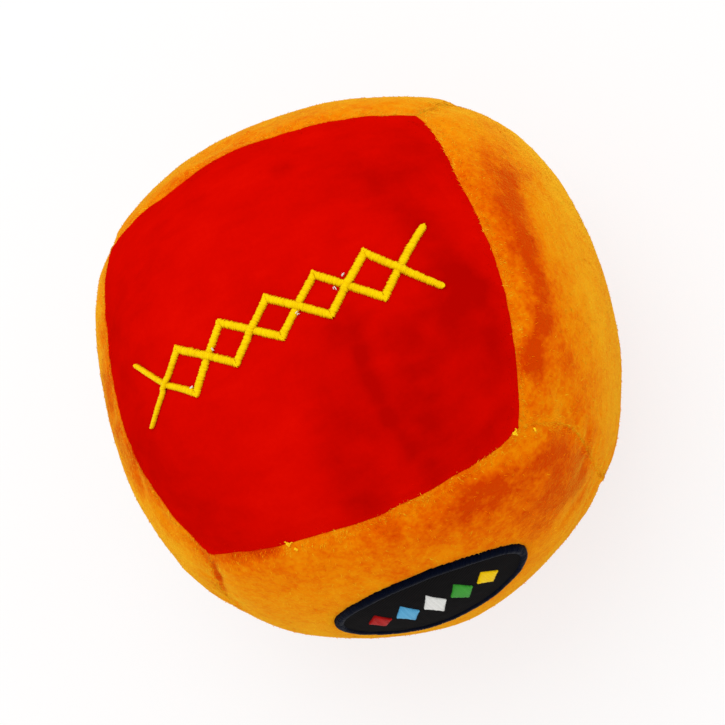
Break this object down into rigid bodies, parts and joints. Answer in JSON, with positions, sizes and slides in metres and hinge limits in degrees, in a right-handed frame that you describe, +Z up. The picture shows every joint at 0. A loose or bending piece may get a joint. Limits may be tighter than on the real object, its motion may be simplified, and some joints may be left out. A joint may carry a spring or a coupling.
{
  "type": "soft medicine ball",
  "caption": "Soft plush medicine ball of sewn square panels, stuffed round a sand pouch, with embroidered criss-cross lacing on one panel and an oval patch on another.",
  "frame": {"origin": "middle of the flat that the ball's weight presses into its base panel, on the floor", "axes": "+Z up, out of the laced top panel; +X along the lacing; -Y out of the front panel, which carries the patch"},
  "size_m": [0.1676, 0.1736, 0.1638],
  "materials": {
    "red_plush": "short-pile plush",
    "orange_plush": "short-pile plush",
    "yellow_thread": "satin-stitched embroidery thread",
    "gold_thread": "sewing thread",
    "black_twill": "twill weave",
    "navy_thread": "merrowed thread",
    "white_thread": "satin-stitched embroidery thread",
    "red_thread": "satin-stitched embroidery thread",
    "blue_thread": "satin-stitched embroidery thread",
    "green_thread": "satin-stitched embroidery thread",
    "white_felt": "non-woven felt",
    "polyester_fibre": "loose fibre",
    "cotton_cloth": "plain weave",
    "sand": "dry sand"
  },
  "bodies": {
    "root": {"top_panel": "red_plush", "base_panel": "orange_plush", "front_panel": "orange_plush", "rear_panel": "orange_plush", "left_panel": "orange_plush", "right_panel": "orange_plush", "seam_top_front": "gold_thread", "seam_top_rear": "gold_thread", "seam_top_left": "gold_thread", "seam_top_right": "gold_thread", "seam_base_front": "gold_thread", "seam_base_rear": "gold_thread", "seam_base_left": "gold_thread", "seam_base_right": "gold_thread", "seam_front_left": "gold_thread", "seam_front_right": "gold_thread", "seam_rear_left": "gold_thread", "seam_rear_right": "gold_thread", "closing_thread": "gold_thread", "closing_knot_left": "gold_thread", "closing_knot_right": "gold_thread", "lacing_under": "yellow_thread", "lacing_over": "yellow_thread", "lacing_backing": "white_felt", "patch_border": "navy_thread", "patch_twill": "black_twill", "sand_fill": "sand", "pouch_upper": "cotton_cloth", "pouch_lower": "cotton_cloth", "pouch_seam": "cotton_cloth", "stuffing_upper": "polyester_fibre", "stuffing_lower": "polyester_fibre"}
  },
  "joints": []
}
